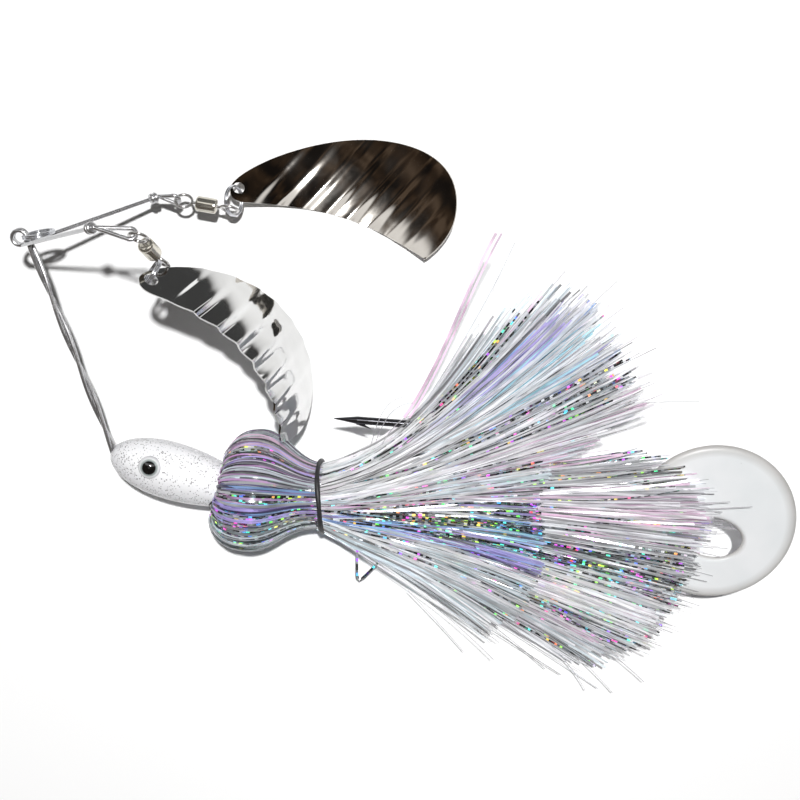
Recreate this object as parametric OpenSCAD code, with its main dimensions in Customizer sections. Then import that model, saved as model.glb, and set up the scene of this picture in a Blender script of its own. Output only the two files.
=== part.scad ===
// Twin-blade spinnerbait: a wire frame carries a weighted head, a long hook, a tied skirt
// and a soft trailer below, and two blades on swivels and split rings above.
// The origin is the centre of the line-tie coil. +X runs back along the lure, +Z is up.

/* [Wire frame] */
// Wire diameter
wire_d = 1.6; // [1.4:0.05:1.65]
// Mean radius of the line-tie coil
coil_r = 2.75; // [2.7:0.05:3]
// Where the twisted leg enters the head: distance back from the coil
nose_x = 42.4; // [41:0.2:44]
// Where the twisted leg enters the head: distance below the coil
nose_drop = 78.8; // [78:0.2:81]
// Length over which the twisted pair makes one full turn
twist_pitch = 55; // [50:1:60]
// Elbow of the right upper arm: distance back
arm_back_right = 42.4; // [40:0.2:43]
// Elbow of the left upper arm: distance back
arm_back_left = 35.9; // [35:0.2:38]
// Elbow of each upper arm: distance out to the side
arm_out = 36; // [35:0.2:37]
// Elbow of each upper arm: height
arm_up = 17; // [16.4:0.1:17.6]
// Tip of each end loop: distance back
loop_tip_back = 50.7; // [50:0.2:52]
// Mean radius of the end loop's tip
loop_r = 2.1; // [2:0.05:2.2]

/* [Swivels and rings] */
// Mean radius of a swivel eye
eye_r = 3.3; // [3.2:0.1:3.6]
// Wire diameter of a swivel eye
eye_d = 1.2; // [1.1:0.05:1.25]
// Outside diameter of a swivel barrel
barrel_d = 6; // [5.6:0.1:6.4]
// Length of a swivel barrel
barrel_len = 8.4; // [8:0.1:9]
// Mean radius of a split ring
ring_r = 5.8; // [5.6:0.1:6.2]
// Wire diameter of a split ring
ring_d = 0.9; // [0.8:0.05:0.95]

/* [Blades] */
// Thickness of the blade sheet
blade_t = 0.8; // [0.7:0.05:1]
// Radius to which the sheet is cupped
cup_r = 90; // [88:1:95]
// Diameter of the hole for the split ring
blade_hole_d = 4.4; // [4.2:0.1:4.6]

/* [Head] */
// Largest radius of the head
head_r = 11.2; // [11:0.1:11.4]
// Length from the nose to the largest radius
head_front = 24; // [23:0.5:25]
// Length of the tapering half behind it, were it to run to a point
head_rear = 32; // [31:0.5:34]
// How far the head is tilted nose up
head_tilt = 7; // [6:0.5:8]
// Diameter of an eye with its rim
face_eye_d = 8.6; // [8:0.1:9]

/* [Hook] */
// Wire diameter of the hook
hook_d = 3; // [2.8:0.1:3.1]
// Distance between shank and point
hook_gap = 35; // [34:0.5:36]

/* [Skirt and trailer] */
// Largest radius of the folded front bundle
bulb_r = 23.4; // [22.8:0.1:24]
// Radius of the bundle under the band
waist_r = 13.2; // [12.8:0.1:14]
// Diameter of the trailer's body
grub_d = 13; // [12:0.5:13.5]

/* [Hidden] */
$fn = 48;

wire_r = wire_d / 2;
pair_gap = 0.05;                       // half the gap kept between the two frame wires
pair_r = wire_r + pair_gap;            // each wire's distance from the middle of the pair
run_gap = 0.12;                        // running clearance between linked wires
lean = 18;                             // angle at which the lure lies when laid on a flat surface
eye_wire_r = eye_d / 2;
ring_wire_r = ring_d / 2;
nose = [nose_x, 0, -nose_drop];

// ---------- vectors ----------
function unit(v) = v / norm(v);
function across(v, n) = unit(v - (v * n) * n);          // the part of v square to n
function turn(v, axis, angle) =                          // v turned about a unit axis
    v * cos(angle) + cross(axis, v) * sin(angle) + axis * (axis * v) * (1 - cos(angle));
// a direction given along the lure, up the surface it lies on, and out of that surface
function lying(v) = [v.x, v.y * sin(lean) - v.z * cos(lean), v.y * cos(lean) + v.z * sin(lean)];

// puts children in the frame whose origin is o, whose x axis is x and whose z axis is z
module place(o, x, z) {
    y = cross(z, x);
    multmatrix([[x.x, y.x, z.x, o.x], [x.y, y.y, z.y, o.y], [x.z, y.z, z.z, o.z], [0, 0, 0, 1]])
        children();
}

// a round bar between two points
module rod(a, b, r) {
    d = b - a;
    translate(a)
        rotate([0, acos(d.z / norm(d)), atan2(d.y, d.x)])
            cylinder(h = norm(d), r = r);
}

bead = 0.04;                                             // how far a bead at a bend stands proud

// a ring of round wire about z
module wire_ring(mean_r, r) {
    rotate_extrude() translate([mean_r, 0]) circle(r = r, $fn = 32);
}

// ---------- wire frame ----------
// the twisted leg leaves the coil on a tangent and ends inside the head
leg_entry = nose + [1.5, 0, 0];                          // a point just inside the head's nose
leg_bend = asin(coil_r / norm(leg_entry));
leg_slope = atan2(-leg_entry.z, leg_entry.x) + leg_bend; // angle of the leg below the X axis
leg_dir = [cos(leg_slope), 0, -sin(leg_slope)];
leg_side = [sin(leg_slope), 0, cos(leg_slope)];
leg_top = coil_r * leg_side;
leg_inside = 4;                                          // length of the leg behind that point
leg_len = norm(leg_entry) * cos(leg_bend) + leg_inside;
leg_steps = 54;
tube_sides = 10;
function leg_point(s, side) =
    let (a = 360 * s / twist_pitch)
    leg_top + s * leg_dir + side * pair_r * (cos(a) * [0, 1, 0] + sin(a) * leg_side);

// one wire of the twisted leg
module twisted_wire(side) {
    rings = [for (i = [0:leg_steps])
        let (s = leg_len * i / leg_steps)
        let (t = unit(leg_point(s + 0.1, side) - leg_point(s - 0.1, side)))
        let (u = across([0, 1, 0], t))
        let (v = cross(t, u))
        for (k = [0:tube_sides - 1])
            leg_point(s, side) + wire_r * (cos(360 * k / tube_sides) * u + sin(360 * k / tube_sides) * v)];
    walls = [for (i = [0:leg_steps - 1])
        for (k = [0:tube_sides - 1])
            let (n = (k + 1) % tube_sides)
            [i * tube_sides + k, (i + 1) * tube_sides + k, (i + 1) * tube_sides + n, i * tube_sides + n]];
    near_end = [for (k = [0:tube_sides - 1]) k];
    far_end = [for (k = [0:tube_sides - 1]) (leg_steps + 1) * tube_sides - 1 - k];
    polyhedron(rings, concat(walls, [near_end, far_end]));
}

// the coil turn: round wire with a narrow flat land worn on its inside by the line
module coil_turn() {
    land = 0.15;
    rotate_extrude()
        difference() {
            translate([coil_r, 0]) circle(r = wire_r, $fn = 32);
            translate([coil_r - wire_r - 1, -wire_r]) square([1 + land, wire_d]);
        }
}

function loop_axis(side) = [0, -0.6 * side, 0.8];        // across the end loop, in its own plane
function arm_back(side) = side > 0 ? arm_back_right : arm_back_left;
function elbow(side) = [arm_back(side), side * arm_out, arm_up];
// length of an end loop, from its elbow to the centre of its tip
function loop_len(side) = loop_tip_back - loop_r - arm_back(side);
arm_bend = 65;                                           // where the arms leave the coil, below the X axis
function arm_start(side) = [coil_r * cos(arm_bend), side * pair_r, -coil_r * sin(arm_bend)];

// the end loop, drawn along x in the xy plane: a round tip and two strands that meet at the elbow
module end_loop(length) {
    spread = asin(loop_r / length);
    translate([length, 0, 0])
        rotate([0, 0, -90 - spread])
            rotate_extrude(angle = 180 + 2 * spread)
                translate([loop_r, 0]) circle(r = wire_r, $fn = 32);
    for (s = [-1, 1])
        rod([0, 0, 0],
            [length, s * loop_r * cos(spread), 0],
            wire_r);
    sphere(r = wire_r + bead);
}

// the wire's end, wound round the arm beside the elbow; the turns press into one another
module arm_wrap(side) {
    press = 0.2;
    back = unit(arm_start(side) - elbow(side));
    for (i = [1, 2])
        place(elbow(side) + back * i * (wire_d - press / 2), across([0, 0, 1], back), back)
            wire_ring(wire_d - press, wire_r);
}

module wire_frame(side) {
    color("silver") {
        translate([0, side * pair_r, 0]) rotate([90, 0, 0]) coil_turn();
        twisted_wire(side);
        rod(arm_start(side), elbow(side), wire_r);
        place(elbow(side), [1, 0, 0], cross([1, 0, 0], loop_axis(side)))
            end_loop(loop_len(side));
        arm_wrap(side);
    }
}

module wire_frame_right() { wire_frame(1); }
module wire_frame_left() { wire_frame(-1); }

// ---------- line-tie split ring ----------
// it stands square to the coil, threaded through it, and rests on the arms
tie_rise = 20;
module line_tie_ring() {
    color("gainsboro")
        rotate([0, -tie_rise, 0])
            translate([coil_r - (wire_r + ring_wire_r + run_gap) + ring_r, 0, 0])
                split_ring();
}

// ---------- head ----------
head_end = 48;                                           // where the head is cut off square
collar_r = 5;
collar_len = 12;
socket_gap = 0.1;
function head_radius(s) =
    s < head_front
        ? head_r * sqrt(1 - pow((head_front - s) / head_front, 2))
        : head_r * sqrt(1 - pow((s - head_front) / head_rear, 2));
module in_head() {
    translate(nose) rotate([0, head_tilt, 0]) children();
}
eye_s = 17.2;                                             // distance of the eyes behind the nose
eye_lift = 3.1;                                          // height of the eyes above the head's axis
eye_deep = 1.6;
module head_eye_place(side) {
    in_head()
        translate([eye_s, 0, 0])
            rotate([side * asin(eye_lift / head_radius(eye_s)), 0, 0])
                translate([0, side * (head_radius(eye_s) - eye_deep), 0])
                    rotate([-90 * side, 0, 0])
                        children();
}
module head_body() {
    steps = 20;
    front = [for (i = [0:steps])
        let (s = head_front * (1 - cos(90 * i / steps)))
        [head_radius(s), s]];
    rear = [for (i = [1:steps])
        let (s = head_front + (head_end - head_front) * i / steps)
        [head_radius(s), s]];
    rotate([0, 90, 0])
        rotate_extrude()
            polygon(concat([[0, head_end]], front, rear));
    translate([head_end - 1, 0, 0]) rotate([0, 90, 0]) cylinder(h = collar_len + 1, r = collar_r);
}
module head() {
    color("whitesmoke")
        difference() {
            in_head() head_body();
            // passage for the twisted leg
            rod(leg_top + leg_dir * (leg_len - 2 * leg_inside),
                leg_top + leg_dir * (leg_len + run_gap),
                wire_d + 2 * run_gap);
            // passage for the hook
            in_head() {
                eye_room = hook_eye_r + hook_r + 0.3;
                translate([hook_eye_s, 0, 0])
                    cube([2 * eye_room, hook_d + 2 * socket_gap, 2 * eye_room], center = true);
                translate([hook_eye_s, 0, 0])
                    rotate([0, 90, 0])
                        cylinder(h = head_end + collar_len, r = hook_r + socket_gap);
            }
            for (side = [-1, 1])
                head_eye_place(side) cylinder(h = head_r, d = face_eye_d + 2 * socket_gap);
        }
}

// a flat-backed dome
module head_eye(side) {
    dome_r = 5.4;
    dome_top = 2.9;
    color("dimgray")
        head_eye_place(side)
            intersection() {
                translate([0, 0, socket_gap]) cylinder(h = dome_top, d = face_eye_d);
                translate([0, 0, dome_top - dome_r]) sphere(r = dome_r);
            }
}
module head_eye_right() { head_eye(1); }
module head_eye_left() { head_eye(-1); }

// ---------- hook ----------
hook_r = hook_d / 2;
hook_eye_r = 3.6;
hook_eye_s = 22;                                         // the hook's eye, behind the nose
bend_r = hook_gap / 2;
hook_rise = 13;                                          // the shank behind its knee, against the head's axis
rear_len = 56;                                           // from the knee to the bend
spear_len = 30;                                          // from the bend to the point
point_len = 9;
barb_len = 6;
barb_angle = 22;
knee = head_end + collar_len + 2;                        // where the shank bends up, behind the nose
module hook() {
    color("dimgray")
        in_head() {
            translate([hook_eye_s, 0, 0]) rotate([90, 0, 0]) wire_ring(hook_eye_r, hook_r);
            translate([hook_eye_s + hook_eye_r, 0, 0])
                rotate([0, 90, 0])
                    cylinder(h = knee - hook_eye_s - hook_eye_r, r = hook_r);
            hook_rear();
        }
}
// the shank behind the collar, the bend, the spear and its barb
module hook_rear() {
    translate([knee, 0, 0]) {
        sphere(r = hook_r + bead);
        rotate([0, -hook_rise, 0]) {
            rotate([0, 90, 0]) cylinder(h = rear_len, r = hook_r);
            translate([rear_len, 0, bend_r])
                rotate([90, 0, 0])
                    rotate([0, 0, -90])
                        rotate_extrude(angle = 180)
                            translate([bend_r, 0]) circle(r = hook_r, $fn = 32);
            translate([rear_len, 0, hook_gap]) {
                rotate([0, -90, 0]) cylinder(h = spear_len - point_len, r = hook_r);
                translate([point_len - spear_len, 0, 0])
                    rotate([0, -90, 0])
                        cylinder(h = point_len, r1 = hook_r, r2 = 0.15);
                translate([point_len - spear_len, 0, -hook_r * 0.6])
                    rotate([0, 90 + barb_angle, 0])
                        cylinder(h = barb_len, r1 = hook_r * 0.6, r2 = 0.1);
            }
        }
    }
}

// ---------- skirt ----------
// the skirt's own axis leaves the collar and rises slightly towards the tail
skirt_start = [head_end - 6.5, 0, -2.1];
waist_s = 45;                                            // the band, behind the start of the bundle
module in_skirt() {
    in_head() translate(skirt_start) rotate([0, -hook_rise, 0]) children();
}
// turns of thread that tie the strands to the collar
module collar_thread() {
    thread_r = 0.5;
    turns = 5;
    first = head_end + 3.5;
    color("white")
        in_head()
            for (i = [0:turns - 1])
                translate([first + i * 1.8 * thread_r, 0, 0])
                    rotate([0, 90, 0])
                        wire_ring(collar_r + thread_r + 0.05, thread_r);
}
module skirt_front_bundle() {
    steps = 14;
    tip_r = 15.5;                                        // where the folded strands come out at the front
    shell = 3;
    neck_len = 3.6;                                      // straight part under the band
    round_outer = [for (i = [0:steps])
        let (a = 180 * i / steps)
        [(i < steps / 2 ? tip_r + (bulb_r - tip_r) * sin(a) : waist_r + (bulb_r - waist_r) * sin(a)),
         (waist_s - neck_len) * (1 - cos(a)) / 2]];
    outer = concat(round_outer, [[waist_r, waist_s]]);
    inner = [for (i = [0:steps + 1]) let (p = outer[steps + 1 - i]) [p.x - shell, p.y]];
    color("lavender")
        in_skirt()
            rotate([0, 90, 0])
                rotate_extrude()
                    polygon(concat(outer, inner));
}
module skirt_band() {
    band_r = 1.2;
    clear = 0.55;
    color("black")
        in_skirt()
            translate([waist_s - 1.6, 0, 0])
                rotate([0, 90, 0])
                    wire_ring(waist_r + clear + band_r, band_r);
}

// fans of strands behind the band, drawn in the plane of symmetry: x back from the band, y up
outer_half = 15;                                         // half the thickness of the outer fan
inner_half = 11;
core_half = 7.2;                                         // half the width of the room for the trailer
fan_gap = 0.4;
fan_reach = 170;                                         // beyond the end of every strand
module fan(points, half) {
    in_skirt()
        translate([waist_s + 0.5, half, 0])
            rotate([90, 0, 0])
                linear_extrude(height = 2 * half)
                    polygon(points);
}
// room for the hook, behind the band
module hook_slot() {
    up = hook_gap + 4;
    back = 56;
    fan([[-1, 0], [-1, up], [back, up], [back, 0]], hook_r + 0.6);
}
module skirt_outer_tier() {
    color("lavender")
        difference() {
            fan([[0, waist_r], [22, 30], [58, 108], [98, 84], [119, 52], [96, -16],
                 [82, -50], [56, -50], [0, -waist_r]], outer_half);
            fan([[-1, -11], [-1, 11], [60, 34], [140, 60], [140, -78], [60, -35]], inner_half + fan_gap);
            hook_slot();
        }
}
module skirt_inner_tier() {
    color("thistle")
        difference() {
            fan([[0, -10.5], [0, 10.5], [60, 33], [128, 46], [150, 20], [150, -20],
                 [126, -68], [60, -34]], inner_half);
            core_low = -shank_drop - 7.5;
            fan([[-1, core_low], [-1, 9], [fan_reach, 9], [fan_reach, core_low]], core_half);
            hook_slot();
            slit = curl_r + 4;
            fan([[100, -slit], [100, slit], [fan_reach, slit], [fan_reach, -slit]], curl_t / 2 + fan_gap);
        }
}
module inner_tier_thread() {
    color("white")
        in_skirt()
            translate([waist_s - 4, 0, 0])
                rotate([0, 90, 0])
                    wire_ring(9, 0.6);
}

// ---------- trailer ----------
// how far the hook's shank runs below the skirt's axis
shank_drop = (knee - skirt_start.x) * sin(hook_rise) + skirt_start.z * cos(hook_rise);
grub_start = waist_s + 6;
grub_len = 121;
curl_r = 31.5;                                           // outside of the curled tail
curl_hole_r = 10.5;
curl_t = 2.6;
slot_gap = 0.5;
module trailer_grub() {
    color("white")
        in_skirt()
            difference() {
                union() {
                    translate([grub_start, 0, -shank_drop])
                        rotate([0, 90, 0])
                            cylinder(h = grub_len, r = grub_d / 2);
                    translate([grub_start + grub_len + curl_r - 8, curl_t / 2, 2])
                        rotate([90, 0, 0])
                            linear_extrude(height = curl_t)
                                curled_tail();
                }
                // slot from which the hook's bend comes out
                translate([0, -hook_r - slot_gap, -shank_drop - hook_r - slot_gap])
                    cube([waist_s + 60, hook_d + 2 * slot_gap, 2 * hook_gap]);
            }
}
// a broad C, open below its root
module curled_tail() {
    difference() {
        circle(r = curl_r);
        translate([1, -4]) circle(r = curl_hole_r);
        polygon([[1, -6], [-50, -10], [-50, -60], [-14, -60]]);
    }
}

// ---------- blade chains ----------
// Each chain hangs from the tip of an end loop: front eye, barrel, rear eye, split ring, blade.
// The right chain is drawn lying on a flat surface beside the lure, the left one hanging over it.
neck = 1.6;                                              // bare stem between an eye and the barrel
stem_r = 0.6;
stem_gap = 0.1;
stud_r = 1.5;                                            // head of a stem, inside the barrel
stud_len = 1;
link = wire_r + eye_wire_r + run_gap;
ring_link = ring_wire_r + eye_wire_r + run_gap;
hole_slack = 0.6;                                        // how far the blade hangs off the ring's wire

// pose of each chain at rest, right then left
function pick(side, right, left) = side > 0 ? right : left;
function swivel_angle(side) = pick(side, 0, 71);         // below the line of the end loop
function ring_axis(side) = pick(side, lying([0.94, 0.09, 0.45]), unit([1.296, 0.264, -0.651]));
function ring_hang(side) = pick(side, lying([-0.48, 1.15, -0.33]), unit([-0.306, -0.375, -0.855]));
function blade_hang(side) = pick(side, lying([0.44, 1.27, -0.31]), unit([0.564, -0.878, -0.31]));
function blade_along(side) = pick(side, [1, 0, 0], unit([0.677, 0.359, -0.643]));
function blade_face(side) = across(pick(side, lying([0, 0, 1]), [0.73, -0.438, 0.524]), blade_along(side));

// hinge of the front eye: on the wire of the end loop's tip
function tip(side) = [loop_tip_back, side * arm_out, arm_up];
function swivel_dir(side) = turn([1, 0, 0], loop_axis(side), side * -swivel_angle(side));
function front_eye_centre(side) = tip(side) + (eye_r - link) * swivel_dir(side);
function barrel_start(side) = front_eye_centre(side) + (eye_r + neck) * swivel_dir(side);
function rear_eye_centre(side) = barrel_start(side) + (barrel_len + neck + eye_r) * swivel_dir(side);
function ring_pin(side) = rear_eye_centre(side) + eye_r * across(swivel_dir(side), ring_axis(side));
function ring_centre(side) =
    ring_pin(side) + (ring_r - ring_link) * across(ring_hang(side), unit(ring_axis(side)));
function blade_hole(side) =
    ring_centre(side) + ring_r * across(blade_hang(side), unit(ring_axis(side)))
    + hole_slack * across(blade_hang(side), blade_face(side));

// an eye with its stem and the stud that turns inside the barrel, the stem pointing along x
module swivel_eye() {
    rotate([90, 0, 0]) wire_ring(eye_r, eye_wire_r);
    rotate([0, 90, 0]) {
        translate([0, 0, eye_r]) cylinder(h = neck + wall_end + stud_len, r = stem_r);
        translate([0, 0, eye_r + neck + wall_end + stem_gap]) cylinder(h = stud_len, r = stud_r);
    }
}
wall_end = 1.2;                                          // thickness of the barrel's ends
module swivel_front_eye(side) {
    color("silver")
        place(front_eye_centre(side), swivel_dir(side), cross(swivel_dir(side), loop_axis(side)))
            swivel_eye();
}
module swivel_rear_eye(side) {
    color("silver")
        place(rear_eye_centre(side), -swivel_dir(side), across(ring_axis(side), swivel_dir(side)))
            swivel_eye();
}
module swivel_barrel(side) {
    end_r = 1.1;
    half = barrel_len / 2;
    shoulder = barrel_d / 2 - end_r;
    corner = [for (i = [0:6]) [shoulder + end_r * cos(15 * i), half - end_r + end_r * sin(15 * i)]];
    low_corner = [for (i = [0:6]) [corner[6 - i].x, -corner[6 - i].y]];
    hole = stem_r + stem_gap;
    cavity = stud_r + 0.2;
    inside = [[hole, half], [hole, half - wall_end], [cavity, half - wall_end],
              [cavity, wall_end - half], [hole, wall_end - half], [hole, -half]];
    color("goldenrod")
        place(barrel_start(side) + half * swivel_dir(side),
              loop_axis(side),
              swivel_dir(side))
            rotate_extrude()
                polygon(concat([[hole, -half]], low_corner, corner,
                               [for (i = [0:4]) inside[i]]));
}

// two turns of round wire pressed together
module split_ring() {
    rotate_extrude()
        for (s = [-1, 1])
            translate([ring_r, s * ring_wire_r * 0.9]) circle(r = ring_wire_r, $fn = 24);
}
module chain_ring(side) {
    axis = unit(ring_axis(side));
    color("gainsboro")
        place(ring_centre(side), across(ring_hang(side), axis), axis) split_ring();
}

// ---------- blades ----------
blade_width = 29;                                        // from the chord to the top of the back
blade_reach = 87;                                        // from the hole to the far end
function bezier(p, t) =
    let (u = 1 - t)
    u * u * u * p[0] + 3 * u * u * t * p[1] + 3 * u * t * t * p[2] + t * t * t * p[3];
function curve(p, n) = [for (i = [0:n - 1]) bezier(p, i / n)];
// the outline: a long round back, a blunt far end, a small point, and a nearly straight belly
function blade_outline() = concat(
    curve([[-3.3, -0.5], [-1.5, 9], [30, blade_width + 1], [58, blade_width]], 14),
    curve([[58, blade_width], [76, blade_width - 0.5], [blade_reach, 20], [blade_reach, 4]], 10),
    curve([[blade_reach, 4], [blade_reach, -4], [82, -11], [78, -15]], 5),
    curve([[78, -15], [52, -4], [36, -0.5], [3, -5.2]], 8),
    curve([[3, -5.2], [-1, -5.6], [-3, -4], [-3.3, -0.5]], 5));
// the cupped sheet with its hole; the hollow side faces +z
module blade_sheet() {
    cup = [44, 6];
    difference() {
        intersection() {
            translate([0, 0, -5]) linear_extrude(height = 40) polygon(blade_outline());
            translate([cup.x, cup.y, cup_r]) sphere(r = cup_r + blade_t / 2, $fn = 96);
        }
        translate([cup.x, cup.y, cup_r]) sphere(r = cup_r - blade_t / 2, $fn = 96);
        translate([0, 0, -5]) cylinder(h = 40, d = blade_hole_d);
    }
}
// height of the sheet over the hole, so that the hole's middle is at the origin
cup_at_hole = cup_r - sqrt(cup_r * cup_r - 44 * 44 - 6 * 6);
module blade(side) {
    color("silver")
        place(blade_hole(side), blade_along(side), blade_face(side))
            mirror([0, 0, side > 0 ? 0 : 1])
                translate([0, 0, -cup_at_hole])
                    blade_sheet();
}

module swivel_front_eye_right() { swivel_front_eye(1); }
module swivel_front_eye_left() { swivel_front_eye(-1); }
module swivel_barrel_right() { swivel_barrel(1); }
module swivel_barrel_left() { swivel_barrel(-1); }
module swivel_rear_eye_right() { swivel_rear_eye(1); }
module swivel_rear_eye_left() { swivel_rear_eye(-1); }
module split_ring_right() { chain_ring(1); }
module split_ring_left() { chain_ring(-1); }
module blade_right() { blade(1); }
module blade_left() { blade(-1); }

wire_frame_right();
wire_frame_left();
line_tie_ring();
head();
head_eye_right();
head_eye_left();
hook();
collar_thread();
skirt_front_bundle();
skirt_band();
skirt_outer_tier();
skirt_inner_tier();
inner_tier_thread();
trailer_grub();
swivel_front_eye_right();
swivel_barrel_right();
swivel_rear_eye_right();
split_ring_right();
blade_right();
swivel_front_eye_left();
swivel_barrel_left();
swivel_rear_eye_left();
split_ring_left();
blade_left();
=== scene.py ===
"""Looks of the twin-blade spinnerbait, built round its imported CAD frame."""

import math

import bmesh
import bpy
import numpy as np
from mathutils import Matrix, Vector

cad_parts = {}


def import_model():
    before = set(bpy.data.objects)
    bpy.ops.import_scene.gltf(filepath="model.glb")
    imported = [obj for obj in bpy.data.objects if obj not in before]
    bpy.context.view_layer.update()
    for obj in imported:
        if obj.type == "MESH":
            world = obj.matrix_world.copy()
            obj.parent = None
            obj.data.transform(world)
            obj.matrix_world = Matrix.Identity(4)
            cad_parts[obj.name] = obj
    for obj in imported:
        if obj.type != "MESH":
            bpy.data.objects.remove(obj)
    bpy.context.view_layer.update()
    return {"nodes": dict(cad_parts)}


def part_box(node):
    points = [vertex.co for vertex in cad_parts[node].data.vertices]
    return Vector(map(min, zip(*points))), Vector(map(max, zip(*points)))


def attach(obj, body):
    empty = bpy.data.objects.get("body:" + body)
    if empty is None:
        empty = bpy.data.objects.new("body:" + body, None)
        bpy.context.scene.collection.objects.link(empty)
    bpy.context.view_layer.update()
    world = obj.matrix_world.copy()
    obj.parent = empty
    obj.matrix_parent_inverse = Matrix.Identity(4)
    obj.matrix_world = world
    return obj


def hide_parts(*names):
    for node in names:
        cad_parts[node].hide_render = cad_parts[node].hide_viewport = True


MM = 0.001

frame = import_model()
rng = np.random.default_rng(41)


# ---------- places taken from the CAD ----------
def middle(node):
    """Centre of a CAD node's box, in metres."""
    low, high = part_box(node)
    return (low + high) / 2


def spread(node):
    """Size of a CAD node's box, in metres."""
    low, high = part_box(node)
    return high - low


# the lure lies on a surface, its plane of symmetry tilted against it
LEAN = math.radians(18)
X = np.array([1.0, 0, 0])
SURFACE_POINT = np.array([149.9, 25.1, -45.05]) * MM
SURFACE_OUT = np.array([0.0, -math.cos(LEAN), math.sin(LEAN)])
SURFACE_UP = np.array([0.0, math.sin(LEAN), math.cos(LEAN)])
FLOOR_POINT = SURFACE_POINT - 9.8 * MM * SURFACE_OUT     # under the cupped blade's back

# the skirt's own axis rises slightly towards the tail; distances along it start at the band
SKIRT_RISE = math.radians(6)
SKIRT_BACK = np.array([math.cos(SKIRT_RISE), 0.0, math.sin(SKIRT_RISE)])
SKIRT_UP = np.array([-math.sin(SKIRT_RISE), 0.0, math.cos(SKIRT_RISE)])
SIDE = np.array([0.0, 1.0, 0.0])
BAND = np.array(middle("skirt_band"))
WAIST_R = spread("skirt_band").y / 2 - 3.3 * MM
BULB_R = spread("skirt_front_bundle").y / 2
BULB_LEN = BAND[0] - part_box("skirt_front_bundle")[0].x - 4 * MM
BULB_SLANT = 3 * MM              # how far the bundle's front leans back at its top
BAND_TILT = math.radians(7)      # the band's plane, its top towards the head


def skirt_points(back, side, up):
    """Points from distances along the skirt's axis, sideways and up, in metres."""
    back, side, up = np.broadcast_arrays(back, side, up)
    return (BAND + back[..., None] * SKIRT_BACK
            + side[..., None] * SIDE + up[..., None] * SKIRT_UP)


def settle(points, least=0.5 * MM, soft=2.5 * MM):
    """Points that would be under the surface are laid softly on top of it."""
    height = (points - FLOOR_POINT) @ SURFACE_OUT
    laid = least + (soft - least) * np.exp(np.minimum(height - soft, 0) / (soft - least))
    lift = np.where(height < soft, laid - height, 0.0)
    return points + lift[..., None] * SURFACE_OUT


# ---------- meshes ----------
def make_object(name, verts, faces, material, smooth=True):
    """A new object from points and faces, in metres."""
    mesh = bpy.data.meshes.new(name)
    mesh.from_pydata([tuple(v) for v in verts], [], [tuple(int(i) for i in f) for f in faces])
    mesh.validate()
    mesh.update()
    if smooth:
        mesh.shade_smooth()
    mesh.materials.append(material)
    obj = bpy.data.objects.new(name, mesh)
    bpy.context.scene.collection.objects.link(obj)
    return obj


def add_values(obj, name, values):
    """One number per vertex, for the materials."""
    attribute = obj.data.attributes.new(name, "FLOAT", "POINT")
    attribute.data.foreach_set("value", np.asarray(values, np.float32).ravel())


def add_colours(obj, name, colours):
    """One colour per vertex, for the materials."""
    attribute = obj.data.attributes.new(name, "FLOAT_COLOR", "POINT")
    filled = np.ones((len(colours), 4), np.float32)
    filled[:, :3] = colours
    attribute.data.foreach_set("color", filled.ravel())


def unit(v):
    return v / np.maximum(np.linalg.norm(v, axis=-1, keepdims=True), 1e-12)


def grid_faces(rows, cols, offset=0, wrap=False):
    """Quads between rows of points; wrap joins the last column to the first."""
    faces = []
    last = cols if wrap else cols - 1
    for i in range(rows - 1):
        for j in range(last):
            k = (j + 1) % cols
            faces.append((offset + i * cols + j, offset + i * cols + k,
                          offset + (i + 1) * cols + k, offset + (i + 1) * cols + j))
    return faces


def sheet_faces(rows, cols):
    """Faces of a sheet of some thickness: upper side, lower side and the rim between them."""
    n = rows * cols
    rim = ([(i * cols, (i + 1) * cols) for i in range(rows - 1)]
           + [((rows - 1) * cols + j, (rows - 1) * cols + j + 1) for j in range(cols - 1)]
           + [((i + 1) * cols + cols - 1, i * cols + cols - 1) for i in range(rows - 1)]
           + [(j + 1, j) for j in range(cols - 1)])
    return (grid_faces(rows, cols) + [f[::-1] for f in grid_faces(rows, cols, offset=n)]
            + [(a, b, b + n, a + n) for a, b in rim])


def tube(name, material, path, radius, closed=False, sides=10):
    """Round bar along a path."""
    path = np.asarray(path, float)
    if closed:
        tangent = unit(np.roll(path, -1, 0) - np.roll(path, 1, 0))
    else:
        tangent = unit(np.gradient(path, axis=0))
    u = unit(np.cross(tangent, np.broadcast_to([0.31, 0.9, 0.3], tangent.shape)))
    v = np.cross(tangent, u)
    a = np.linspace(0, 2 * math.pi, sides, endpoint=False)
    radius = np.broadcast_to(radius, (len(path),))
    ring = (u[:, None] * np.cos(a)[None, :, None] + v[:, None] * np.sin(a)[None, :, None])
    verts = (path[:, None] + ring * radius[:, None, None]).reshape(-1, 3)
    faces = grid_faces(len(path), sides, wrap=True)
    if closed:
        n = len(path)
        faces += [((n - 1) * sides + j, (n - 1) * sides + (j + 1) % sides,
                   (j + 1) % sides, j) for j in range(sides)]
    else:
        faces.append(tuple(range(sides)))
        faces.append(tuple(range(len(verts) - 1, len(verts) - 1 - sides, -1)))
    return make_object(name, verts, faces, material)


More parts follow.
